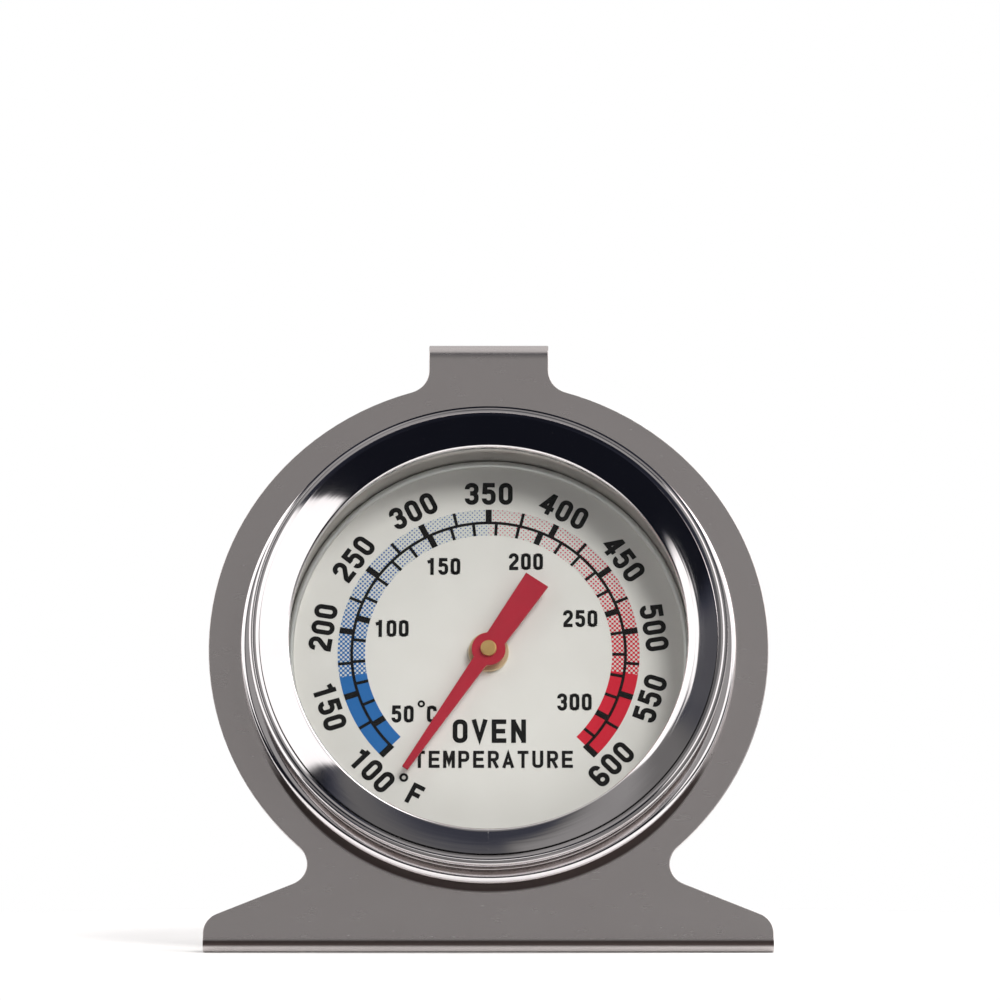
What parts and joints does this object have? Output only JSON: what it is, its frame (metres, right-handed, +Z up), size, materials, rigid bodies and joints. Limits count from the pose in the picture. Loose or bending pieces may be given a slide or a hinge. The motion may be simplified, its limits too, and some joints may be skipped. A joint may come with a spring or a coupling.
{
  "type": "oven thermometer",
  "caption": "Round dial bimetal oven thermometer in a polished ring, on a leaning bent sheet stand with a hook for an oven rack.",
  "frame": {"origin": "middle of the foot's flat underside, on the surface that it stands on", "axes": "+Z up, dial faces -Y and leans back 16 degrees, +X to the right as the dial is read"},
  "size_m": [0.069, 0.0374, 0.0754],
  "materials": {
    "satin_steel": "fine satin stainless sheet",
    "polished_steel": "polished spun stainless",
    "drawn_steel": "drawn stainless, semi-bright",
    "spring_steel": "bright spring steel",
    "plated_steel": "zinc-plated steel",
    "gasket": "black heat-proof gasket",
    "glass": "clear toughened glass",
    "dial_print": "satin printed aluminium",
    "aluminium": "bare aluminium",
    "brass": "turned brass",
    "bimetal": "rolled bimetal strip",
    "pointer_red": "red enamel"
  },
  "bodies": {
    "case": {"stand_plate": "satin_steel", "bezel_ring": "polished_steel", "glass_gasket": "gasket", "window_glass": "glass", "case_can": "drawn_steel", "stand_lock_ring": "spring_steel", "dial_support_ring": "aluminium", "dial_plate": "dial_print", "dial_retaining_ring": "spring_steel", "dial_bush": "brass", "movement_bracket": "plated_steel", "bush_washer": "plated_steel", "bush_nut": "brass", "bimetal_coil": "bimetal", "coil_anchor_rivet": "aluminium"},
    "pointer_arbor": {"arbor": "plated_steel", "arbor_clip": "spring_steel", "coil_collet": "brass", "thrust_washer": "brass", "pointer_boss": "brass", "pointer": "pointer_red"}
  },
  "joints": [
    {"name": "pointer_swing", "type": "hinge", "parent": "case", "child": "pointer_arbor", "pos_m": [0, -0.00678, 0.03739], "axis": [0, 0.9613, -0.2756], "range_deg": [-25.6, 281.1], "stiffness_Nm_per_rad": 0.0002, "deforming": ["bimetal_coil"]}
  ]
}
